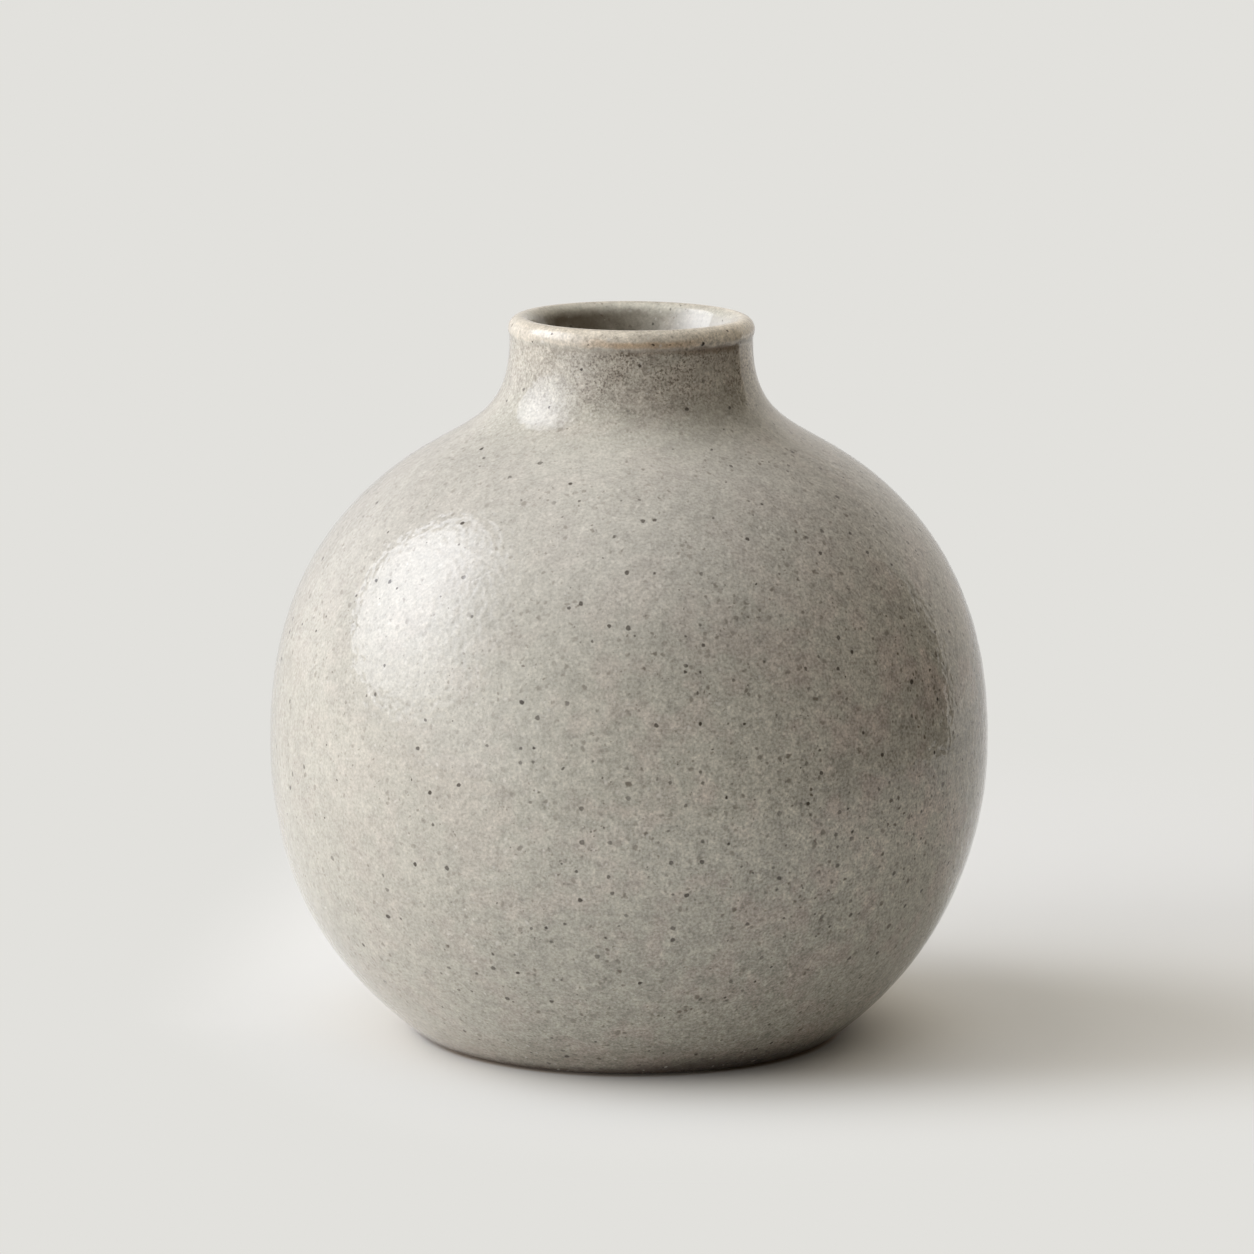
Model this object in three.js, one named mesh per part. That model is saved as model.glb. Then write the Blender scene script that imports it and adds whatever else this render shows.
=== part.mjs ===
// A round stoneware bud vase: one thrown clay wall that carries three coats of fired glaze.
// Millimetres, +Z up. The origin is the centre of the foot, on the plane that the vase rests on.
import * as THREE from "three";

// The globe
const bodyDiameter = 110;
const equatorHeight = 45;
const lowerRise = -55.4;
const lowerFullness = 2;
const upperRise = 52.2;
const upperFullness = 2.25;

// The shoulder, neck and lip
const shoulderHeight = 88.2;
const shoulderReach = 10.6;
const neckReach = 12.4;
const neckDiameter = 37;
const neckHeight = 107;
const lipDiameter = 37.5;
const lipThickness = 3.8;
const lipTurn = THREE.MathUtils.degToRad(157.5);
const overallHeight = 110.4;

// The wall and floor, measured through clay and glaze
const wallThickness = 4.5;
const floorThickness = 5.4;
const floorFullness = 2.7;
const linerShoulderHeight = 84.6;
const linerNeckReach = 9.5;
const throatDiameter = 27.4;
const throatHeight = 102;
const throatReach = 3;
const funnelReach = 2.6;

// The glaze: full on the wall, thin on the lip, ending just above the table
const wallCoat = 0.5;
const lipCoat = 0.3;
const coatThinning = 8;
const glazeLine = 0.5;

// The bare foot: a flat ring round a shallow hollow
const footDiameter = 62.4;
const footRingWidth = 6;
const footHollow = 1.6;
const footHollowEase = 2.4;

// Finishes
const bareClay = { color: 0xa08a70, roughness: 0.85, metalness: 0 };
const wallGlaze = { color: 0xaca79d, roughness: 0.3, metalness: 0 };
const brokenGlaze = { color: 0xb7a48d, roughness: 0.25, metalness: 0 };
const insideGlaze = { color: 0x8f897d, roughness: 0.3, metalness: 0 };

// Facets
const turnSegments = 48;
const globeSteps = 7;
const sweepSteps = 7;
const flareSteps = 2;
const lipSteps = 7;
const funnelSteps = 3;
const floorSteps = 9;

const bodyRadius = bodyDiameter / 2;
const footRadius = footDiameter / 2;
const lipRadius = lipThickness / 2;
const lipCentre = new THREE.Vector2(lipDiameter / 2 - lipRadius, overallHeight - lipRadius);
const linerRadius = bodyRadius - wallThickness;
const linerUpperRise = upperRise - wallThickness;
const linerLowerRise = footHollow + floorThickness - equatorHeight;
const closeEnough = 1e-6;
const smallTurn = 1e-3;

// A point on a rounded quarter of the globe: angle 0 is the equator, a right angle is the pole.
function quarterPoint({ radius, rise, fullness }, angle) {
  const power = 2 / fullness;
  const reach = radius * Math.cos(angle) ** power;
  return new THREE.Vector2(
    reach < closeEnough ? 0 : reach,
    equatorHeight + rise * Math.sin(angle) ** power,
  );
}

// The angle at which a rounded quarter reaches a height.
function quarterAngle({ rise, fullness }, height) {
  return Math.asin(((height - equatorHeight) / rise) ** (fullness / 2));
}

// Points along a rounded quarter, both ends included.
function quarterRun(globe, fromAngle, toAngle, steps) {
  return Array.from({ length: steps + 1 }, (_, i) =>
    quarterPoint(globe, THREE.MathUtils.lerp(fromAngle, toAngle, i / steps)),
  );
}

// The hollow curve that sweeps from a globe's shoulder up into an upright neck.
function sweepRun(globe, startHeight, neck, reach) {
  const angle = quarterAngle(globe, startHeight);
  const start = quarterPoint(globe, angle);
  const along = start.clone().sub(quarterPoint(globe, angle - smallTurn)).normalize();
  return new THREE.CubicBezierCurve(
    start,
    start.clone().addScaledVector(along, shoulderReach),
    new THREE.Vector2(neck.x, neck.y - reach),
    neck,
  ).getPoints(sweepSteps);
}

// The small flare from the neck's waist out to the lip, upright at both ends.
function flareRun(neck, lip) {
  const middle = (neck.y + lip.y) / 2;
  return new THREE.CubicBezierCurve(
    neck,
    new THREE.Vector2(neck.x, middle),
    new THREE.Vector2(lip.x, middle),
    lip,
  ).getPoints(flareSteps);
}

// A point on the round bead of the lip: angle 0 is its outer side, a right angle is its top.
function lipPoint(turn) {
  return new THREE.Vector2(Math.cos(turn), Math.sin(turn)).multiplyScalar(lipRadius).add(lipCentre);
}

// The round bead over the top of the lip, from its outer side to where the funnel starts.
function lipRun() {
  return Array.from({ length: lipSteps + 1 }, (_, i) => lipPoint((lipTurn * i) / lipSteps));
}

// The funnel that leads from the bead down to the throat, where it is upright.
function funnelRun(throat) {
  const start = lipPoint(lipTurn);
  const along = new THREE.Vector2(-Math.sin(lipTurn), Math.cos(lipTurn));
  return new THREE.CubicBezierCurve(
    start,
    start.clone().addScaledVector(along, funnelReach),
    new THREE.Vector2(throat.x, throat.y + throatReach),
    throat,
  ).getPoints(funnelSteps);
}

// Runs laid end to end, with a shared end point kept once.
function chain(...runs) {
  return runs.flat().filter((point, i, all) => !i || point.distanceTo(all[i - 1]) > closeEnough);
}

// Glaze thickness at a height: it drains thin towards the lip.
function coatAt(height) {
  return THREE.MathUtils.mapLinear(
    Math.min(overallHeight - height, coatThinning), 0, coatThinning, lipCoat, wallCoat,
  );
}

// The clay under a glazed outline: each point moved in, square to the surface, by the glaze's thickness.
function clayUnder(outline) {
  return outline.map((point, i) => {
    const before = outline[Math.max(i - 1, 0)];
    const after = outline[Math.min(i + 1, outline.length - 1)];
    const along = after.clone().sub(before).normalize();
    const outward = new THREE.Vector2(along.y, -along.x);
    const under = point.clone().addScaledVector(outward, -coatAt(point.y));
    return new THREE.Vector2(point.x === 0 ? 0 : under.x, under.y);
  });
}

// A named piece turned round the vase's axis from its outline.
function turned(name, outline, finish) {
  const geometry = new THREE.LatheGeometry(outline, turnSegments).rotateX(Math.PI / 2);
  const piece = new THREE.Mesh(geometry, new THREE.MeshStandardMaterial(finish));
  piece.name = name;
  return piece;
}

const lowerGlobe = { radius: bodyRadius, rise: lowerRise, fullness: lowerFullness };
const upperGlobe = { radius: bodyRadius, rise: upperRise, fullness: upperFullness };
const linerUpper = { radius: linerRadius, rise: linerUpperRise, fullness: upperFullness };
const linerLower = { radius: linerRadius, rise: linerLowerRise, fullness: floorFullness };
const neckWaist = new THREE.Vector2(neckDiameter / 2, neckHeight);
const lipOuter = new THREE.Vector2(lipDiameter / 2, lipCentre.y);
const throat = new THREE.Vector2(throatDiameter / 2, throatHeight);

// The glazed surface: up the outside, over the lip, then down the inside to the middle of the floor.
const outside = chain(
  quarterRun(lowerGlobe, quarterAngle(lowerGlobe, glazeLine), 0, globeSteps),
  quarterRun(upperGlobe, 0, quarterAngle(upperGlobe, shoulderHeight), globeSteps),
  sweepRun(upperGlobe, shoulderHeight, neckWaist, neckReach),
);
const lip = chain(flareRun(neckWaist, lipOuter), lipRun());
const inside = chain(
  funnelRun(throat),
  sweepRun(linerUpper, linerShoulderHeight, throat, linerNeckReach).reverse(),
  quarterRun(linerUpper, quarterAngle(linerUpper, linerShoulderHeight), 0, globeSteps),
  quarterRun(linerLower, 0, Math.PI / 2, floorSteps),
);
const glazed = chain(outside, lip, inside);
const clay = clayUnder(glazed);

// Where the lip's coat starts and ends along that surface.
const lipStart = outside.length - 1;
const lipEnd = lipStart + lip.length - 1;

// A coat of glaze between two stations of the surface: its face, then back along the clay.
function coat(start, end) {
  const face = glazed.slice(start, end + 1);
  const back = clay.slice(start, end + 1).reverse();
  return [...face, ...back, face[0]];
}

// The liner covers the floor, so its outline starts and ends on the axis.
function linerCoat() {
  return [...clay.slice(lipEnd).reverse(), ...glazed.slice(lipEnd)];
}

// The underside of the clay: the hollow, the flat ring and the bevel up to the glaze line.
const foot = [
  new THREE.Vector2(0, footHollow),
  new THREE.Vector2(footRadius - footRingWidth - footHollowEase, footHollow),
  new THREE.Vector2(footRadius - footRingWidth, 0),
  new THREE.Vector2(footRadius, 0),
];

const vase = new THREE.Group();
vase.add(
  turned("stoneware_body", [...foot, ...clay], bareClay),
  turned("outer_glaze", coat(0, lipStart), wallGlaze),
  turned("lip_glaze", coat(lipStart, lipEnd), brokenGlaze),
  turned("liner_glaze", linerCoat(), insideGlaze),
);

export default vase;
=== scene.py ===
import math
import bpy
import numpy as np
from mathutils import Euler, Matrix, Vector
from types import SimpleNamespace


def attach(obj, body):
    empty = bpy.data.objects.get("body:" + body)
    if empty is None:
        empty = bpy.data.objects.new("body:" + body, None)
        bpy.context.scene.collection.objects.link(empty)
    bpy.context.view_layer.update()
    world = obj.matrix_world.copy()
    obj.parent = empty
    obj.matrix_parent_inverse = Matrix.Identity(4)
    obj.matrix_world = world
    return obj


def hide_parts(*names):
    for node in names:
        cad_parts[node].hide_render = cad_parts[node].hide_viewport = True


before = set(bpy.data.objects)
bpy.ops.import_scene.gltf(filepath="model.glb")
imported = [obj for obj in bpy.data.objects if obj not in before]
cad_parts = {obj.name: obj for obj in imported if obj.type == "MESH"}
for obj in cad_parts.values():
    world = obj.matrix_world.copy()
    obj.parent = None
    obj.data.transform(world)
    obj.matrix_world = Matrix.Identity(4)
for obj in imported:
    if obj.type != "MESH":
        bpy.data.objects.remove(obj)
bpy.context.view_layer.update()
print("frame loaded, nodes:", ", ".join(sorted(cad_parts)))

mm = 0.001  # sizes below are millimetres, Blender works in metres


# camera

cameraLook = {
    "place": (0, -946, 236.7),
    "pitchDown": 0.1822,  # radians
    "roll": 0.0054,
    "yaw": 0.00044,
    "focalPixels": 6290,
    "framePixels": 1254,
    "sensor": 36,
    "nearest": 50,
    "farthest": 60000,
}


def makeCamera(look):
    lens = bpy.data.cameras.new("camera")
    lens.sensor_width = look["sensor"]
    lens.lens = look["focalPixels"] / look["framePixels"] * look["sensor"]
    lens.clip_start = look["nearest"] * mm
    lens.clip_end = look["farthest"] * mm
    camera = bpy.data.objects.new("camera", lens)
    aim = Euler((math.pi / 2 - look["pitchDown"], 0, look["yaw"])).to_matrix().to_4x4()
    tilt = Matrix.Rotation(look["roll"], 4, "Z")
    camera.matrix_world = Matrix.Translation(Vector(look["place"]) * mm) @ aim @ tilt
    bpy.context.scene.collection.objects.link(camera)
    bpy.context.scene.camera = camera


makeCamera(cameraLook)
bpy.context.scene.view_settings.view_transform = "Standard"
print("camera set")


# shader wires: a wire is one output socket, and sums of wires add Math nodes

class Wire:
    def __init__(self, tree, socket=None):
        self.tree = tree
        self.socket = socket

    def node(self, kind, settings, sockets, out=0):
        made = self.tree.nodes.new("ShaderNode" + kind)
        for name, value in settings.items():
            setattr(made, name, value)
        for key, value in sockets.items():
            if isinstance(value, Wire):
                self.tree.links.new(value.socket, made.inputs[key])
            else:
                made.inputs[key].default_value = value
        return Wire(self.tree, made.outputs[out] if made.outputs else None)

    def also(self, out):  # another output of the same node
        return Wire(self.tree, self.socket.node.outputs[out])

    def maths(self, operation, *terms):
        return self.node("Math", {"operation": operation}, dict(enumerate(terms)))

    def __add__(self, other):
        return self.maths("ADD", self, other)

    def __radd__(self, other):
        return self.maths("ADD", other, self)

    def __sub__(self, other):
        return self.maths("SUBTRACT", self, other)

    def __rsub__(self, other):
        return self.maths("SUBTRACT", other, self)

    def __mul__(self, other):
        return self.maths("MULTIPLY", self, other)

    def __rmul__(self, other):
        return self.maths("MULTIPLY", other, self)

    def __truediv__(self, other):
        return self.maths("DIVIDE", self, other)

    def __rtruediv__(self, other):
        return self.maths("DIVIDE", other, self)

    def __pow__(self, other):
        return self.maths("POWER", self, other)

    def __rpow__(self, other):
        return self.maths("POWER", other, self)

    def __neg__(self):
        return self * -1

    def larger(self, other):
        return self.maths("MAXIMUM", self, other)

    def ease(self, low, high):  # 0 at low, 1 at high, smooth between
        settings = {"interpolation_type": "SMOOTHSTEP"}
        return self.node("MapRange", settings, {"Value": self, "From Min": low, "From Max": high})

    def fade(self, low, high):  # 1 at low, 0 at high
        return 1 - self.ease(low, high)

    def step(self, share, low, high):  # 0 at low, this share at high
        return share * self.ease(low, high)

    def drop(self, share, low, high):  # this share at low, 0 at high
        return share * self.fade(low, high)

    def blend(self, first, second):  # self is the share of the second colour
        return self.node("Mix", {"data_type": "RGBA"}, {0: self, 6: first, 7: second}, 2)

    def paint(self, colour):  # one colour, this strong
        return self.node("VectorMath", {"operation": "SCALE"}, {0: colour, "Scale": self})

    def toned(self, factor):  # a colour or vector, times one number
        return self.node("VectorMath", {"operation": "SCALE"}, {0: self, "Scale": factor})

    def plus(self, other):  # two colours or vectors
        return self.node("VectorMath", {"operation": "ADD"}, {0: self, 1: other})

    def stretch(self, factors):
        return self.node("VectorMath", {"operation": "MULTIPLY"}, {0: self, 1: factors})

    def part(self, axis):  # X runs to the right, Y to the back and Z up
        return self.node("SeparateXYZ", {}, {0: self}, axis)

    def distance(self, place):
        return self.node("VectorMath", {"operation": "DISTANCE"}, {0: self, 1: place}, "Value")

    def reach(self):  # how far from the vase's axis
        flat = self.stretch((1, 1, 0))
        return flat.node("VectorMath", {"operation": "LENGTH"}, {0: flat}, "Value")

    def cloud(self, size, detail=2, roughness=0.5):  # soft noise with blobs about this many mm across
        sockets = {"Vector": self, "Scale": 1 / size, "Detail": detail, "Roughness": roughness}
        return self.node("TexNoise", {}, sockets, "Fac")

    def sway(self, size, amount, detail=2, roughness=0.5):  # the same noise, this much in all, about 0
        return (self.cloud(size, detail, roughness) - 0.5) * amount

    def wobble(self, size, amount):  # places shifted about by this many mm
        sockets = {"Vector": self, "Scale": 1 / size, "Detail": 1}
        shift = self.node("TexNoise", {}, sockets, "Color").plus((-0.5, -0.5, -0.5))
        return self.plus(shift.toned(2 * amount))

    # soft spots of these radii in mm, 1 in the strongest ones, with a share of them left out
    def specks(self, spacing, small, large, faint, core=0.4, fewer=0):
        near = self.node("TexVoronoi", {}, {"Vector": self, "Scale": 1 / spacing}, "Distance")
        chance = self.node("SeparateColor", {}, {0: near.also("Color")}, "Red")
        spot = (near * spacing / (small + (large - small) * chance)).fade(core, 1)
        spot = spot * (faint + (1 - faint) * chance.also("Green"))
        return spot * (chance.also("Blue") - fewer).ease(-0.02, 0.02)


def shade(red, green, blue):  # an sRGB colour, 0 to 255, as Blender's linear colour
    def straight(value):
        part = value / 255
        return part / 12.92 if part <= 0.04045 else ((part + 0.055) / 1.055) ** 2.4
    return (straight(red), straight(green), straight(blue), 1)


def newMaterial(name):  # with its starting wire and the place on the piece, in mm
    material = bpy.data.materials.new(name)
    material.use_nodes = True
    material.node_tree.nodes.clear()
    start = Wire(material.node_tree)
    place = start.node("TexCoord", {}, {}, "Object")
    return material, start, place.stretch((1 / mm, 1 / mm, 1 / mm))


def finishMaterial(start, surface):
    start.node("OutputMaterial", {}, {"Surface": surface})


# the vase's outline, as turned on the wheel

globe = {
    "width": 110,
    "equator": 45,
    "lowerRise": -55.4,
    "lowerFullness": 2,
    "upperRise": 52.2,
    "upperFullness": 2.25,
    "lowerSteps": 96,
    "upperSteps": 84,
}
neck = {
    "shoulderHeight": 88.2,
    "shoulderReach": 10.6,
    "reach": 12.4,
    "width": 37,
    "height": 107,
    "steps": 64,
}
lip = {
    "width": 37.5,
    "thickness": 3.8,
    "top": 110.4,
    "flareSteps": 8,
    "beadTurn": 157.5,  # degrees, from the outer side over the top
    "beadSteps": 36,
}
hollow = {
    "wall": 4.5,
    "floorHeight": 7,
    "floorFullness": 2.7,
    "shoulderHeight": 84.6,
    "neckReach": 9.5,
    "throatWidth": 27.4,
    "throatHeight": 102,
    "throatReach": 3,
    "funnelReach": 2.6,
    "funnelSteps": 24,
    "steps": 40,
}
coats = {
    "wall": 0.5,
    "lip": 0.3,
    "thinning": 8,
    "glazeLine": 0.5,
}
foot = {
    "width": 62.4,
    "ring": 6,
    "hollow": 1.6,
    "ease": 2.4,
    "edge": 0.25,
}
turning = {
    "segments": 240,
    "backStep": 6,
    "sharpAngle": 35,  # degrees
    "tinyTurn": 0.001,  # radians, to see which way an outline runs
    "sameSpot": 1e-6,  # points nearer than this are one
}


def quarterPoint(part, angle):
    power = 2 / part["fullness"]
    reach = part["radius"] * max(math.cos(angle), 0) ** power
    return np.array((reach, globe["equator"] + part["rise"] * math.sin(angle) ** power))


def quarterAngle(part, height):
    return math.asin(((height - globe["equator"]) / part["rise"]) ** (part["fullness"] / 2))


def quarterRun(part, first, last, steps):
    return [quarterPoint(part, angle) for angle in np.linspace(first, last, steps + 1)]


def bezierRun(points, steps):
    a, b, c, d = (np.array(point, float) for point in points)
    run = []
    for t in np.linspace(0, 1, steps + 1):
        s = 1 - t
        run.append(s ** 3 * a + 3 * s * s * t * b + 3 * s * t * t * c + t ** 3 * d)
    return run


def sweepRun(part, startHeight, top, reach, steps):  # on from the globe, up into the neck
    angle = quarterAngle(part, startHeight)
    start = quarterPoint(part, angle)
    along = start - quarterPoint(part, angle - turning["tinyTurn"])
    along = along / np.linalg.norm(along)
    bend = start + along * neck["shoulderReach"]
    return bezierRun((start, bend, (top[0], top[1] - reach), top), steps)


def joinRuns(*runs):
    points = []
    for run in runs:
        for point in run:
            if not points or np.linalg.norm(point - points[-1]) > turning["sameSpot"]:
                points.append(point)
    return points


def vaseOutline():
    radius = globe["width"] / 2
    bead = lip["thickness"] / 2
    middle = np.array((lip["width"] / 2 - bead, lip["top"] - bead))
    waist = (neck["width"] / 2, neck["height"])
    rim = (lip["width"] / 2, middle[1])
    flareMiddle = (waist[1] + rim[1]) / 2
    throat = (hollow["throatWidth"] / 2, hollow["throatHeight"])
    lower = {"radius": radius, "rise": globe["lowerRise"], "fullness": globe["lowerFullness"]}
    upper = {"radius": radius, "rise": globe["upperRise"], "fullness": globe["upperFullness"]}
    insideUpper = {
        "radius": radius - hollow["wall"],
        "rise": globe["upperRise"] - hollow["wall"],
        "fullness": globe["upperFullness"],
    }
    insideLower = {
        "radius": radius - hollow["wall"],
        "rise": hollow["floorHeight"] - globe["equator"],
        "fullness": hollow["floorFullness"],
    }

    outside = joinRuns(
        quarterRun(lower, quarterAngle(lower, coats["glazeLine"]), 0, globe["lowerSteps"]),
        quarterRun(upper, 0, quarterAngle(upper, neck["shoulderHeight"]), globe["upperSteps"]),
        sweepRun(upper, neck["shoulderHeight"], waist, neck["reach"], neck["steps"]),
    )
    turns = np.linspace(0, math.radians(lip["beadTurn"]), lip["beadSteps"] + 1)
    beadRun = [middle + bead * np.array((math.cos(turn), math.sin(turn))) for turn in turns]
    over = joinRuns(
        bezierRun((waist, (waist[0], flareMiddle), (rim[0], flareMiddle), rim), lip["flareSteps"]),
        beadRun,
    )
    mouth = beadRun[-1]
    downhill = np.array((-math.sin(turns[-1]), math.cos(turns[-1])))
    entering = mouth + downhill * hollow["funnelReach"]
    leaving = (throat[0], throat[1] + hollow["throatReach"])
    inside = joinRuns(
        bezierRun((mouth, entering, leaving, throat), hollow["funnelSteps"]),
        sweepRun(insideUpper, hollow["shoulderHeight"], throat, hollow["neckReach"], hollow["steps"])[::-1],
        quarterRun(insideUpper, quarterAngle(insideUpper, hollow["shoulderHeight"]), 0, hollow["steps"]),
        quarterRun(insideLower, 0, math.pi / 2, hollow["steps"]),
    )
    inside[-1][0] = 0  # the middle of the floor, exactly on the axis
    glazed = joinRuns(outside, over, inside)
    lipStart = len(outside) - 1
    return np.array(glazed), lipStart, lipStart + len(over) - 1


def clayUnder(glazed):  # each point moved in, square to the surface, by the glaze's thickness
    before = np.vstack((glazed[:1], glazed[:-1]))
    after = np.vstack((glazed[1:], glazed[-1:]))
    along = after - before
    along /= np.linalg.norm(along, axis=1)[:, None]
    outward = np.stack((along[:, 1], -along[:, 0]), 1)
    drained = np.minimum(lip["top"] - glazed[:, 1], coats["thinning"]) / coats["thinning"]
    coat = coats["lip"] + (coats["wall"] - coats["lip"]) * drained
    clay = glazed - outward * coat[:, None]
    clay[glazed[:, 0] == 0, 0] = 0
    return clay


# the potter's hand: small departures from a true round, in millimetres

hand = {
    "around": ((-0.15, 86, 8), (0.2, 13, 12)),  # all round: depth, height, spread
    "atLeft": ((-0.35, 88, 11), (0.62, 20, 14)),
    "ripple": 0.012,
    "ripplePitch": 5.2,
    "dent": 0.03,
    "fewDents": {"count": 3, "climb": 9, "fade": 7, "shift": 1},
    "manyDents": {"count": 5, "climb": -6, "shift": 2},
}


def handOffset(theta, height):
    left = ((1 - np.cos(theta)) / 2) ** 2
    offset = np.zeros_like(theta)
    for key, share in (("around", 1), ("atLeft", left)):
        for depth, middle, spread in hand[key]:
            offset += depth * share * np.exp(-((height - middle) / spread) ** 2)
    offset += hand["ripple"] * (np.sin(2 * math.pi * height / hand["ripplePitch"] + theta) - 1)
    few, many = hand["fewDents"], hand["manyDents"]
    dents = np.sin(few["count"] * theta + height / few["climb"])
    dents = dents * np.sin(height / few["fade"] + few["shift"])
    dents = dents + np.sin(many["count"] * theta + height / many["climb"] + many["shift"])
    return offset + hand["dent"] * (dents / 2 - 1)


def turnPiece(name, outline, loop):
    segments = turning["segments"]
    theta = np.arange(segments) * 2 * math.pi / segments
    widest = globe["width"] / 2
    points = []
    rings = []
    for reach, height in outline:
        if reach == 0:
            rings.append([len(points)] * segments)
            points.append((0, 0, height * mm))
            continue
        grown = (reach + handOffset(theta, height) * reach / widest) * mm
        rings.append(list(range(len(points), len(points) + segments)))
        points.extend(zip(grown * np.cos(theta), grown * np.sin(theta), [height * mm] * segments))
    if loop:
        rings.append(rings[0])
    faces = []
    for below, above in zip(rings, rings[1:]):
        for i in range(segments):
            j = (i + 1) % segments
            face = [below[i], below[j], above[j], above[i]]
            faces.append(list(dict.fromkeys(face)))  # a triangle where a ring is one point
    mesh = bpy.data.meshes.new(name)
    mesh.from_pydata(points, [], faces)
    mesh.shade_smooth()
    mesh.set_sharp_from_angle(angle=math.radians(turning["sharpAngle"]))
    mesh.validate()
    piece = bpy.data.objects.new(name, mesh)
    bpy.context.scene.collection.objects.link(piece)
    return piece


def dress(piece, node, material):
    piece.data.materials.append(material)
    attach(piece, "root")
    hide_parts(node)


# the glaze, one recipe for all three coats

glazeColours = {
    "cool": shade(177, 178, 163),
    "warm": shade(187, 175, 163),
    "shoulder": shade(184, 179, 171),
    "grey": shade(106, 97, 85),
    "brown": shade(88, 76, 64),
    "iron": shade(56, 47, 39),
    # pale spots, and the painted light inside the mouth
    "pale": shade(212, 207, 197),
    "tan": shade(204, 193, 175),
    "rust": shade(188, 158, 122),
    # a brown, also the painted shade in the crease under the lip
    "crease": shade(128, 106, 84),
    # painted shade inside the mouth
    "dark": shade(80, 66, 46),
    # the painted shadow line at the foot
    "footShadow": shade(62, 46, 33),
}
# where no note says otherwise, two numbers are from and to, and three are a share, from and to
mapLook = {
    "outside": (15.6, 17.2),  # from the axis, where the lip turns to its outer side
    "right": (-8, 14),
    "coarse": (-45, 45),  # towards the lower right the glaze is coarser in colour
    "coarseTilt": 0.5,
    "coarseHeight": 45,
    "patches": ((9, 0.6), (3.2, 0.4)),  # size and share
    "patchEdge": (0.46, 0.62),
    "lipWaver": (3, 1.2),  # size and depth
    "neck": (93, 105),
    "neckEnd": (0.65, 106.8, 107.8),
}


def glazeMaps(place):  # where things are on the pot
    look = mapLook
    wide, height, reach = place.part("X"), place.part("Z"), place.reach()
    outside = reach.ease(*look["outside"])
    tilted = wide - look["coarseTilt"] * (height - look["coarseHeight"])
    broad, small = (place.cloud(size, 1) * share for size, share in look["patches"])
    lipLine = height + place.sway(*look["lipWaver"])
    return SimpleNamespace(
        place=place,
        wide=wide,
        height=height,
        reach=reach,
        turn=wide / reach,
        outside=outside,
        right=wide.ease(*look["right"]),
        coarse=tilted.ease(*look["coarse"]),
        patches=(broad + small).ease(*look["patchEdge"]),
        lipLine=lipLine,
        neck=height.ease(*look["neck"]) * outside * (1 - lipLine.step(*look["neckEnd"])),
    )


groundLook = {
    "warmth": 0.5,
    "warmthLeft": (-0.08, -38, -12),
    "warmthRight": (0.1, 5, 40),
    "warmthHeight": (25, 45),
    "patchWarmth": 0.1,
    "coarseWarmth": 0.34,
    "shoulder": (0.5, 60, 84),
    "shoulderEnd": (90, 99),
}


def groundColour(maps):  # cool and warm patches, and a greyer shoulder
    look = groundLook
    warmth = look["warmth"] + maps.wide.step(*look["warmthLeft"])
    warmth = warmth + maps.wide.step(*look["warmthRight"]) * maps.height.ease(*look["warmthHeight"])
    warmth = warmth + maps.patches * (look["patchWarmth"] + look["coarseWarmth"] * maps.coarse)
    colour = warmth.blend(glazeColours["cool"], glazeColours["warm"])
    shoulder = maps.height.step(*look["shoulder"]) * maps.height.fade(*look["shoulderEnd"])
    return shoulder.blend(colour, glazeColours["shoulder"])


speckleLook = {  # the shares are for the whole pot, more where it is coarse and more on the neck
    "blotches": {"size": 2.2, "detail": 3, "roughness": 0.8, "even": 0.6, "coarse": 0.75, "neck": 0.7},
    "grain": {"size": 0.42, "detail": 2, "roughness": 0.6, "even": 0.65, "coarse": 1.1, "neck": 0.75},
}


def speckleTone(maps):
    tone = 1
    for look in speckleLook.values():
        share = look["even"] + look["coarse"] * maps.coarse + look["neck"] * maps.neck
        tone = (1 + share * maps.place.sway(look["size"], 1, look["detail"], look["roughness"])) * tone
    return tone


toneLook = {
    "drift": (15, 0.2),  # size and share
    "lean": 0.08,  # lighter towards the lip by this share for each half of the height
    "leanMiddle": 50,
    "shoulder": (0.1, 58, 72),  # painted shade: darker there, and more so on the collar
    "collar": (0.12, 76, 86),
    "shoulderShadeAtLeft": 0.42,
    "shoulderEnd": (97, 104),
    # painted shade: darker near the foot, less so at the far left and most on the right
    "base": 0.02,
    "baseShadeFront": (0.13, -36, -8),
    "baseShadeRight": 0.05,
    "baseEnd": (14, 46),
    "leftEdgeShade": (0.05, -1, -0.85),  # painted shade: darker at the far left, which is -1
    "leftEdgeHeight": (45, 60),
    "beltWaver": (12, 5),  # size and depth
    "belt": (0.12, 43, 48),  # painted reflection: a darker belt on the right, lighter below it
    "beltEnd": (58, 68),
    "underBeltReflection": (0.06, 18, 26),
    "underBeltEnd": (40, 45),
    "beltRight": (20, 42),
    # painted light: the neck lighter on its right
    "neckRightLight": 0.19,
    "neckReflection": (0.65, 0.8, 0.98),  # painted reflection: paler at the far right, which is 1
    "neckPatchWaver": (4, 0.16),  # size and depth
    "streakStretch": (0.06, 0.06, 2.6),  # throwing lines near the foot, long round the pot
    "streak": 0.35,
    "streakEnd": (4, 14),
    "footBrown": (0.22, 1.5, 8),
}


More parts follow.
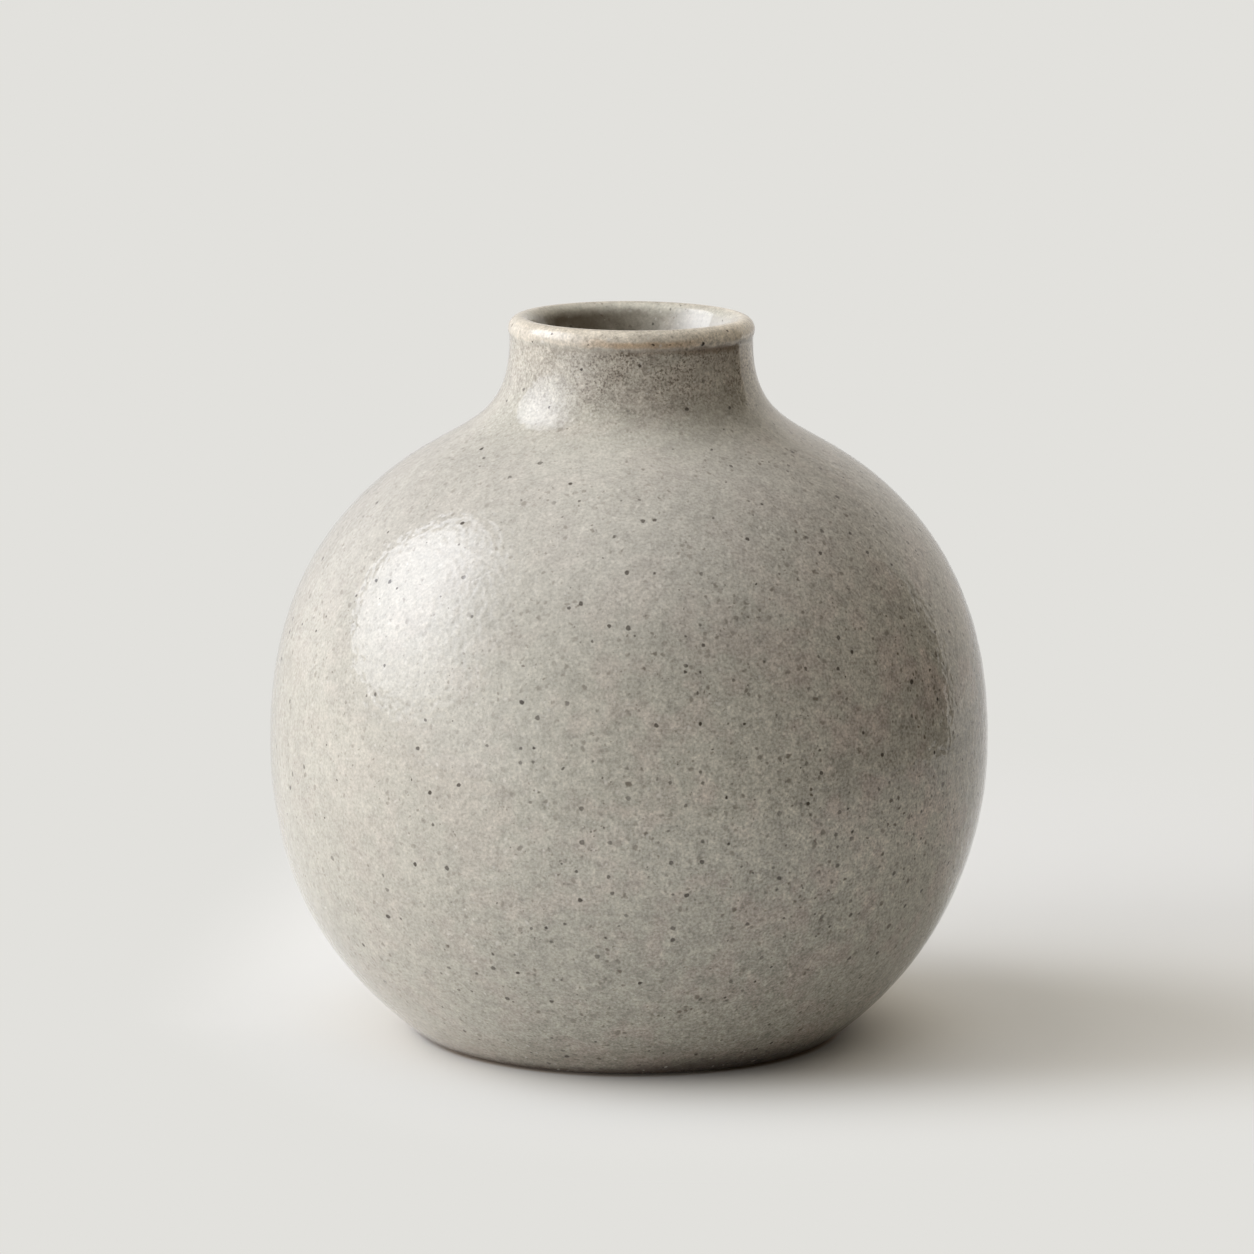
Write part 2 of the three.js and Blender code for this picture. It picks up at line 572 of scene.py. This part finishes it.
def tonedGround(maps, speckle):  # lighter and darker over the whole pot, with painted shade, painted light and painted reflections, then the speckle
    look = toneLook
    place, wide, height = maps.place, maps.wide, maps.height
    tone = 1 + look["lean"] * (height / look["leanMiddle"] - 1) + place.sway(*look["drift"])
    # painted shade on the shoulder and collar, stronger towards the right
    darker = height.step(*look["shoulder"]) + height.step(*look["collar"])
    darker = darker * (look["shoulderShadeAtLeft"] + (1 - look["shoulderShadeAtLeft"]) * maps.right)
    tone = tone * (1 - darker * height.fade(*look["shoulderEnd"]))
    # painted shade low on the pot
    base = look["base"] + wide.step(*look["baseShadeFront"]) + look["baseShadeRight"] * maps.right
    tone = tone * (1 - base * height.fade(*look["baseEnd"]))
    # painted shade along the far left edge, above the middle
    tone = tone * (1 - maps.turn.drop(*look["leftEdgeShade"]) * height.ease(*look["leftEdgeHeight"]))
    # painted reflection: a dark belt on the right with a lighter band under it
    beltLine = height + place.sway(*look["beltWaver"])
    belt = beltLine.step(*look["belt"]) * beltLine.fade(*look["beltEnd"])
    underBeltReflection = height.step(*look["underBeltReflection"]) * beltLine.fade(*look["underBeltEnd"])
    tone = tone * (1 - (belt - underBeltReflection) * wide.ease(*look["beltRight"]))
    # painted light on the neck's right and a painted reflection at its far right
    patch = (maps.turn + place.sway(*look["neckPatchWaver"])).step(*look["neckReflection"])
    tone = tone * (1 + maps.neck * (look["neckRightLight"] * maps.right + patch))
    streaks = place.stretch(look["streakStretch"]).sway(1, look["streak"])
    tone = tone * speckle * (1 + height.fade(*look["streakEnd"]) * streaks)
    colour = groundColour(maps).toned(tone)
    return height.drop(*look["footBrown"]).blend(colour, glazeColours["crease"])


lipLook = {
    "thinRight": (-22, 0),
    "thinPatchSize": 5,
    "thinPatchEdge": (0.35, 0.6),
    "thinLeast": 0.6,
    "neckBrown": 0.14,
    "thinBrown": 0.19,
    # painted shade in the crease under the lip, stronger on the right
    "crease": (106.4, 107.2),
    "creaseEnd": (107.5, 108.3),
    "creaseShadeShare": 0.1,
    "creaseShadeRight": 0.6,
    "creaseFade": (14.5, 17.5),
    "rustMiddle": (2, -18.5, 108),  # a place
    "rustReach": (3.3, 11),
    "rustWaver": (4, 8),  # size and depth
    "rustEnd": (108.6, 109.3),
    "rustShare": 0.8,
    # painted light: the tan lighter on the right
    "paleRightLight": (0.55, 4, 17),
    "topRight": (0.14, -4, 6),
    "topHeight": (109, 110),
    "tan": (0.8, 107.5, 108.2),
}


def thinCoat(maps):  # under the lip, more so towards the right
    look = lipLook
    patches = maps.place.cloud(look["thinPatchSize"]).ease(*look["thinPatchEdge"])
    uneven = look["thinLeast"] + (1 - look["thinLeast"]) * patches
    return maps.neck * maps.wide.ease(*look["thinRight"]) * uneven


def lipColour(maps, colour, thin, speckle):  # brown where the coat is thin, painted shade in the crease under the lip, tan where it drains off, with painted light on the tan at the right
    look = lipLook
    brown = glazeColours["crease"]
    colour = (maps.neck * look["neckBrown"] + thin * look["thinBrown"]).blend(colour, brown)
    # painted shade in the crease under the lip
    crease = maps.lipLine.ease(*look["crease"]) * maps.lipLine.fade(*look["creaseEnd"]) * maps.outside
    crease = crease * (look["creaseShadeShare"] + look["creaseShadeRight"] * maps.right)
    colour = (crease * maps.wide.fade(*look["creaseFade"])).blend(colour, brown)
    apart = maps.place.distance(look["rustMiddle"]) + maps.place.sway(*look["rustWaver"])
    rust = apart.fade(*look["rustReach"]) * maps.lipLine.fade(*look["rustEnd"]) * look["rustShare"]
    tan = rust.blend(glazeColours["tan"], glazeColours["rust"])
    top = maps.wide.step(*look["topRight"]) * maps.height.ease(*look["topHeight"])
    # painted light on the tan's right side
    tan = tan.toned(speckle * (1 + maps.wide.step(*look["paleRightLight"])) * (1 - top))
    return (maps.lipLine.step(*look["tan"]) * maps.outside).blend(colour, tan)


mouthLook = {
    # painted shade inside the mouth, less on the right, and painted light on its right inner wall
    "mouth": (88, 98),
    "mouthEnd": (108.4, 109.9),
    "dark": 0.9,
    "darkPatches": 0.3,
    "lessAtRight": (0.75, -12, 12),
    "pale": (0.6, 5, 12),
    "footWaver": (2, 1),  # size and depth
    "footLine": (0.9, 0.4, 3.2),  # a painted shadow line at the foot, in shares of its height, which grows to the right
    "footLeft": 0.4,
    "footFront": (0.28, -32, -18),
}


def paintedMouthAndFootShading(maps, colour):  # painted shade in the mouth and a painted shadow line at the foot, with painted light on the mouth's right inner wall
    look = mouthLook
    # painted shade inside the mouth, less on the right
    mouth = (1 - maps.outside) * maps.height.ease(*look["mouth"]) * maps.lipLine.fade(*look["mouthEnd"])
    dark = (look["dark"] - look["darkPatches"] * maps.patches) * (1 - maps.wide.step(*look["lessAtRight"]))
    colour = (mouth * dark).blend(colour, glazeColours["dark"])
    # painted light on the mouth's right inner wall
    colour = (mouth * maps.wide.step(*look["pale"])).blend(colour, glazeColours["pale"])
    # painted shadow: a dark line along the foot, taller towards the right
    lineHeight = look["footLeft"] + maps.wide.step(*look["footFront"]) + maps.right
    line = (maps.height + maps.place.sway(*look["footWaver"])) / lineHeight
    return line.drop(*look["footLine"]).blend(colour, glazeColours["footShadow"])


spotLook = {  # where there are two shares, the second is added where the glaze is coarse
    "crowdSize": 6,  # spots gather in places of this size
    "crowdEdge": (0.35, 0.68),
    "crowdLeast": 0.35,
    "loosen": (0.9, 0.4),  # size and amount
    "smudges": {"spacing": 1.3, "small": 0.2, "large": 0.6, "faint": 0.2},
    "smudgeShares": (0.55, 0.75),
    "dustSize": 0.34,
    "dustEdge": (0.47, 0.63),
    "dustPatchSize": 1.8,
    "dustPatchRoughness": 0.7,
    "dustPatchEdge": (0.25, 0.58),
    "dustShare": 0.8,
    "freckles": {"spacing": 1.1, "small": 0.1, "large": 0.3, "faint": 0.3},
    "freckleShares": (0.6, 0.3),
    "paleSpots": {"spacing": 1.47, "small": 0.08, "large": 0.4, "faint": 0.2},
    "paleShare": 0.6,
    "ironLoosen": (0.7, 0.2),  # size and amount
    "iron": {"spacing": 2.2, "small": 0.08, "large": 0.5, "faint": 0.55, "core": 0.6},
    "ironFewer": (0.6, 0, 0.6),  # left out where the glaze is less coarse than that
    "ironShare": 0.95,
    "lipSpots": (  # iron that burst through near the lip: place and radius
        (-14.8, -11.3, 107.8, 0.26),
        (-6.4, -17.5, 108.4, 0.22),
        (3.2, -18.3, 108.4, 0.28),
        (5.8, -17.6, 108.3, 0.3),
        (10.6, -15.3, 108.3, 0.36),
        (-7.4, -16.9, 104.5, 0.26),
        (-0.5, -20.4, 98.8, 0.4),
        (10.2, -18.4, 98, 0.45),
    ),
    "lipSpotCore": 0.5,  # of the radius
    "lipSpotEdge": 1.2,
}


def spottedColour(maps, colour, thin):
    look = spotLook
    place = maps.place
    loose = place.wobble(*look["loosen"])
    gathered = place.cloud(look["crowdSize"]).ease(*look["crowdEdge"])
    crowd = look["crowdLeast"] + (1 - look["crowdLeast"]) * gathered

    def share(key):
        even, coarse = look[key]
        return even + coarse * maps.coarse

    # soft smudges, dust under the lip, small brown and pale spots, then iron specks
    smudge = loose.specks(**look["smudges"]) * crowd
    colour = (smudge * share("smudgeShares")).blend(colour, glazeColours["grey"])
    dust = place.cloud(look["dustSize"], 1).ease(*look["dustEdge"])
    dustPatches = place.cloud(look["dustPatchSize"], roughness=look["dustPatchRoughness"])
    dust = dust * dustPatches.ease(*look["dustPatchEdge"]) * thin
    colour = (dust * look["dustShare"]).blend(colour, glazeColours["brown"])
    freckle = loose.specks(**look["freckles"]) * crowd
    colour = (freckle * share("freckleShares")).blend(colour, glazeColours["brown"])
    colour = (loose.specks(**look["paleSpots"]) * look["paleShare"]).blend(colour, glazeColours["pale"])
    fewer = maps.coarse.drop(*look["ironFewer"])
    iron = place.wobble(*look["ironLoosen"]).specks(**look["iron"], fewer=fewer)
    for *spotPlace, spotReach in look["lipSpots"]:
        core, edge = spotReach * look["lipSpotCore"], spotReach * look["lipSpotEdge"]
        iron = iron.larger(loose.distance(spotPlace).fade(core, edge))
    colour = (iron * look["ironShare"]).blend(colour, glazeColours["iron"])
    return colour, smudge, iron


reliefLook = {
    "wave": (0.03, 3),  # height and size
    "crinkleWobble": (1.5, 0.45),  # size and amount
    "crinkles": ((0.065, 1.1), (0.016, 0.6)),  # height and size
    "neckLess": (0.55, 88, 97),
    "poolLess": 0.8,  # the glaze lies smoother in a pool on the floor inside
    "poolReach": (26, 32),
    "poolHeight": (14, 24),
    "smudgeDepth": 0.006,
    "ironDepth": 0.01,
}


def glazeRelief(maps, smudge, iron):  # slow waves of the throwing and a fine crinkle
    look = reliefLook
    waveHeight, waveSize = look["wave"]
    relief = waveHeight * maps.place.cloud(waveSize, 1)
    crinkled = maps.place.wobble(*look["crinkleWobble"])
    for crinkleHeight, crinkleSize in look["crinkles"]:
        relief = relief + crinkleHeight * crinkled.cloud(crinkleSize, 0)
    pool = maps.reach.fade(*look["poolReach"]) * maps.height.fade(*look["poolHeight"])
    relief = relief * (1 - maps.height.step(*look["neckLess"])) * (1 - look["poolLess"] * pool)
    return relief - look["smudgeDepth"] * smudge - look["ironDepth"] * iron


finishLook = {
    "smoothest": 0.04,
    "roughest": 0.08,
    "roughSize": 7,
    "indexOfRefraction": 1.52,
}


def glazeMaterial():
    look = finishLook
    material, start, place = newMaterial("speckledGlaze")
    maps = glazeMaps(place)
    speckle = speckleTone(maps)
    thin = thinCoat(maps)
    colour = tonedGround(maps, speckle)
    colour = lipColour(maps, colour, thin, speckle)
    colour = paintedMouthAndFootShading(maps, colour)
    colour, smudge, iron = spottedColour(maps, colour, thin)
    relief = glazeRelief(maps, smudge, iron)
    bump = start.node("Bump", {}, {"Strength": 1, "Distance": mm, "Height": relief})
    rough = look["smoothest"] + (look["roughest"] - look["smoothest"]) * place.cloud(look["roughSize"])
    surface = start.node("BsdfPrincipled", {}, {
        "Base Color": colour,
        "Roughness": rough,
        "IOR": look["indexOfRefraction"],
        "Normal": bump,
    })
    finishMaterial(start, surface)
    return material


# the bare clay, which shows at the foot

clayLook = {
    "pale": shade(168, 146, 120),
    "dark": shade(134, 112, 88),
    "patchSize": 9,
    "patchEdge": (0.35, 0.65),
    "grog": shade(92, 74, 58),
    "grogSize": 0.5,
    "grogRaggedness": 0.7,
    "grogShare": (0.6, 0.58, 0.7),
    "clayRimShade": shade(56, 41, 30),  # painted shade at the foot's outer edge
    "clayRimShadeReach": (0.9, 29.5, 31),
    "smoothest": 0.75,
    "roughest": 0.95,
    "roughSize": 2,
    "grit": 0.06,
    "gritSize": 0.6,
    "gritRaggedness": 0.6,
}


def clayMaterial():
    look = clayLook
    material, start, place = newMaterial("bareStoneware")
    patches = place.cloud(look["patchSize"], 3).ease(*look["patchEdge"])
    colour = patches.blend(look["pale"], look["dark"])
    grog = place.cloud(look["grogSize"], 2, look["grogRaggedness"]).step(*look["grogShare"])
    colour = grog.blend(colour, look["grog"])
    # painted shade at the foot's outer edge
    colour = place.reach().step(*look["clayRimShadeReach"]).blend(colour, look["clayRimShade"])
    rough = look["smoothest"] + (look["roughest"] - look["smoothest"]) * place.cloud(look["roughSize"])
    grit = place.cloud(look["gritSize"], 3, look["gritRaggedness"])
    bump = start.node("Bump", {}, {"Strength": 1, "Distance": look["grit"] * mm, "Height": grit})
    surface = start.node("BsdfPrincipled", {}, {"Base Color": colour, "Roughness": rough, "Normal": bump})
    finishMaterial(start, surface)
    return material


def thinned(points):  # the hidden back of a coat needs few rings
    kept = list(points[::turning["backStep"]])
    if np.any(kept[-1] != points[-1]):
        kept.append(points[-1])
    return kept


def makeVase():
    glazed, lipStart, lipEnd = vaseOutline()
    clay = clayUnder(glazed)
    glaze = glazeMaterial()
    bare = clayMaterial()

    outer = [*glazed[:lipStart + 1], *thinned(clay[:lipStart + 1])[::-1]]
    dress(turnPiece("glazeOutside", outer, True), "outer_glaze", glaze)
    over = [*glazed[lipStart:lipEnd + 1], *thinned(clay[lipStart:lipEnd + 1])[::-1]]
    dress(turnPiece("glazeLip", over, True), "lip_glaze", glaze)
    liner = [*thinned(clay[lipEnd:])[::-1], *glazed[lipEnd:]]
    dress(turnPiece("glazeInside", liner, False), "liner_glaze", glaze)
    print("three coats of glaze turned")

    footRadius = foot["width"] / 2
    ringInside = footRadius - foot["ring"]
    underside = [
        (0, foot["hollow"]),
        (ringInside - foot["ease"], foot["hollow"]),
        (ringInside - foot["edge"], foot["edge"]),
        (ringInside, 0),
        (footRadius - foot["edge"], 0),
        (footRadius, foot["edge"]),
    ]
    body = [*underside, *clay[:lipStart], *clay[lipStart::turning["backStep"]], clay[-1]]
    dress(turnPiece("clayBody", body, False), "stoneware_body", bare)
    print("clay body turned")


makeVase()


# the table, the soft light and the room

paper = shade(226, 225, 221)
tableLook = {
    "left": -3000,
    "right": 325,
    "front": -261,
    "back": 3000,
    "cornerRadius": 300,
    "cornerSteps": 24,
    "colour": shade(230, 229, 226),
    "lit": (130, 240),  # the lamp's light fades out of view between these distances from the vase
    "leftPull": 3,  # and so many times nearer on its left
    "frontPull": 25,  # in front of it the distance is this times its root
    "duskRight": (0.5, 0, 190),  # its right side sends less light on to the vase: share, from, to
    "mirrorRight": (0.45, 20, 80),  # less of that loss where the glaze mirrors its back
    "duskFront": (0.45, 90, 261),
    "duskBack": (0.2, 60, 200),
    "duskBackDepth": (0, 60),
    "duskBackEnd": (-20, 20),
    "duskLeft": (0.06, 20, 90),  # in view too, where the lamp is near
    "warm": shade(231, 226, 214),  # where the vase throws its own colour back
    "warmReach": (30, 62),
    "warmShare": 0.6,
    # painted light: the table lighter near the foot on its left
    "paintedLightNearFoot": 0.08,
    "warmLeft": (-30, 5),
    "paintedContactShadow": shade(186, 156, 122),  # painted shadow under the edge of the foot
    "contactReach": (32, 33.4),
    "contactLeft": 0.25,
    "contactFront": (0.45, -32, -24),
    "beside": (0.27, 42, 70),  # painted light in view: lighter close beside the vase
    "besideRight": (15, 35),
    "besideDepth": (-40, 0),
    "paintedShadeBeyond": (0.1, 25, 60),  # and painted shade: darker behind it on the right
    "beyondDepth": (35, 85),
}


def tableMesh(look):
    radius = look["cornerRadius"]
    corner = Vector((look["right"] - radius, look["front"] + radius, 0))
    outline = [Vector((look["left"], look["front"], 0))]
    for step in range(look["cornerSteps"] + 1):
        turn = math.pi / 2 * (step / look["cornerSteps"] - 1)
        outline.append(corner + radius * Vector((math.cos(turn), math.sin(turn), 0)))
    outline.append(Vector((look["right"], look["back"], 0)))
    outline.append(Vector((look["left"], look["back"], 0)))
    mesh = bpy.data.meshes.new("table")
    mesh.from_pydata([point * mm for point in outline], [], [range(len(outline))])
    return mesh


def tableMaterial(look):
    material, start, place = newMaterial("palePaper")
    wide, deep, reach = place.part("X"), place.part("Y"), place.reach()
    seen = start.node("LightPath", {}, {}, "Is Camera Ray")
    mirrored = start.node("LightPath", {}, {}, "Is Glossy Ray")
    bounced = 1 - seen

    # how much light the table sends on
    fullRight = 1 - mirrored * deep.step(*look["mirrorRight"])
    backLeft = deep.ease(*look["duskBackDepth"]) * wide.fade(*look["duskBackEnd"])
    level = 1 - wide.step(*look["duskRight"]) * bounced * fullRight
    level = level * (1 - (-deep).step(*look["duskFront"]) * bounced)
    level = level * (1 - deep.step(*look["duskBack"]) * bounced * backLeft)
    level = level * (1 - (-wide).step(*look["duskLeft"]))

    # near the vase: colour thrown back, painted light and shade, and a painted shadow under the foot
    near = reach.fade(*look["warmReach"])
    # painted light near the foot on its left
    level = level * (1 + look["paintedLightNearFoot"] * near * wide.fade(*look["warmLeft"]))
    # painted light close beside the vase and painted shade behind it on the right, in view only
    beside = reach.drop(*look["beside"]) * wide.ease(*look["besideRight"]) * deep.ease(*look["besideDepth"])
    paintedShadeBeyond = wide.step(*look["paintedShadeBeyond"]) * deep.ease(*look["beyondDepth"])
    level = level * (1 + seen * (beside - paintedShadeBeyond))
    # painted shadow under the foot's edge, fainter at its far left
    paintedContactShadow = reach.fade(*look["contactReach"]) * (look["contactLeft"] + wide.step(*look["contactFront"]))
    colour = (near * look["warmShare"]).blend(look["colour"], look["warm"])
    colour = paintedContactShadow.blend(colour, look["paintedContactShadow"]).toned(level)

    # far from it the camera sees even paper
    aside = wide.larger(wide * -look["leftPull"])
    along = deep.larger((-deep).larger(0) ** 0.5 * look["frontPull"])
    far = ((aside ** 2 + along ** 2) ** 0.5).ease(*look["lit"])
    matt = start.node("BsdfPrincipled", {}, {"Base Color": colour, "Roughness": 1, "Specular IOR Level": 0})
    even = start.node("Emission", {}, {"Color": paper})
    finishMaterial(start, start.node("MixShader", {}, {0: far * seen, 1: matt, 2: even}))
    return material


def makeTable(look):
    mesh = tableMesh(look)
    mesh.materials.append(tableMaterial(look))
    table = bpy.data.objects.new("table", mesh)
    bpy.context.scene.collection.objects.link(table)


softbox = {  # on a sheet to the left: places and sizes are shares of its distance from the vase
    "distance": 8000,
    "behind": -0.083,
    "up": 0.941,
    "lean": 27,  # degrees, its top towards the back
    "wide": 0.775,
    "tall": 0.88,
    "radiance": 4.9,
    "colour": (0.96, 1, 1.09),
    "middle": (0.342, 0.48),  # its brightest place and the spread round it, across and up
    "spread": (0.361, 0.409),
    "squareness": 1.5,  # above and below, its light ends more suddenly than at its sides
}


def makeSoftbox(look):
    lamp = bpy.data.lights.new("softbox", "AREA")
    away = look["distance"] * mm
    lamp.shape = "ELLIPSE"
    lamp.size = 2 * look["wide"] * away
    lamp.size_y = 2 * look["tall"] * away
    lamp.energy = look["radiance"] * math.pi * look["wide"] * look["tall"] * away ** 2 * math.pi
    lamp.color = look["colour"]
    lamp.use_nodes = True
    lamp.node_tree.nodes.clear()
    start = Wire(lamp.node_tree)
    place = start.node("NewGeometry", {}, {}, "Parametric")
    (middleAcross, middleUp), (spreadAcross, spreadUp) = look["middle"], look["spread"]
    across = (place.part("X") - middleAcross) / spreadAcross
    up = (place.part("Y") - middleUp) / spreadUp
    off = across ** 2 + (up ** 2) ** look["squareness"]
    glow = start.node("Emission", {}, {"Color": (1 / math.e) ** off})
    start.node("OutputLight", {}, {"Surface": glow})
    box = bpy.data.objects.new("softbox", lamp)
    box.location = (-away, look["behind"] * away, look["up"] * away)
    box.rotation_euler = (math.pi / 2, -math.radians(look["lean"]), -math.pi / 2)
    bpy.context.scene.collection.objects.link(box)


room = {
    "glows": (  # degrees round from the camera to the right, degrees up, how narrow, share mirrored, colour
        (0, 90, 5, 1, (1.44, 1.38, 1.24)),
        (-94, 40, 5, 0, (0.16, 0.165, 0.18)),
        (-122, 38, 8, 0, (0.26, 0.27, 0.29)),
        (-125, 6, 9, 1, (0.2, 0.22, 0.28)),
        (-90, 6, 9, 0.4, (0.92, 1.0, 1.17)),
        (-55, 6, 9, 0.4, (3.45, 3.45, 3.6)),
        (80, 12, 6, 1, (0.2, 0.175, 0.15)),
        (150, 45, 9, 1, (0.62, 0.58, 0.54)),
    ),
    "backdrop": (0.65, 0.625, 0.59),
    "backdropStart": 124.5,  # degrees round, a sharp upright edge
    "backdropStartSoftness": 0.02,
    "backdropEnd": 240,
    "backdropEndSoftness": 0.3,
    "backdropTop": (0.25, 0.6),
    "backdropLow": (0.7, -0.2, -0.05),  # brighter below the table's level: share, from, to
}


def makeRoom(look):
    world = bpy.data.worlds.new("room")
    world.use_nodes = True
    world.node_tree.nodes.clear()
    bpy.context.scene.world = world
    start = Wire(world.node_tree)
    way = start.node("TexCoord", {}, {}, "Generated")
    rise = way.part("Z")

    def toward(around, up):  # 1 where a direction points this way
        turn, tilt = math.radians(around), math.radians(up)
        flat = math.cos(tilt)
        target = (math.sin(turn) * flat, -math.cos(turn) * flat, math.sin(tilt))
        return way.node("VectorMath", {"operation": "DOT_PRODUCT"}, {0: way, 1: target}, "Value")

    # a pale backdrop, then the soft glow of walls and ceiling
    sharp, soft = look["backdropStartSoftness"], look["backdropEndSoftness"]
    behind = toward(look["backdropStart"] + 90, 0).ease(-sharp, sharp)
    behind = behind * toward(look["backdropEnd"] - 90, 0).ease(-soft, soft)
    behind = behind * rise.fade(*look["backdropTop"]) * (1 + rise.drop(*look["backdropLow"]))
    light = behind.paint(look["backdrop"])
    mirrored = start.node("LightPath", {}, {}, "Is Glossy Ray")
    for around, up, narrow, share, colour in look["glows"]:
        glow = toward(around, up).larger(0) ** narrow
        if share < 1:
            glow = glow * (1 - (1 - share) * mirrored)
        light = light.plus(glow.paint(colour))
    seen = start.node("LightPath", {}, {}, "Is Camera Ray")
    background = start.node("Background", {}, {"Color": seen.blend(light, paper)})
    start.node("OutputWorld", {}, {"Surface": background})


makeTable(tableLook)
makeSoftbox(softbox)
makeRoom(room)
print("table, soft light and room set")
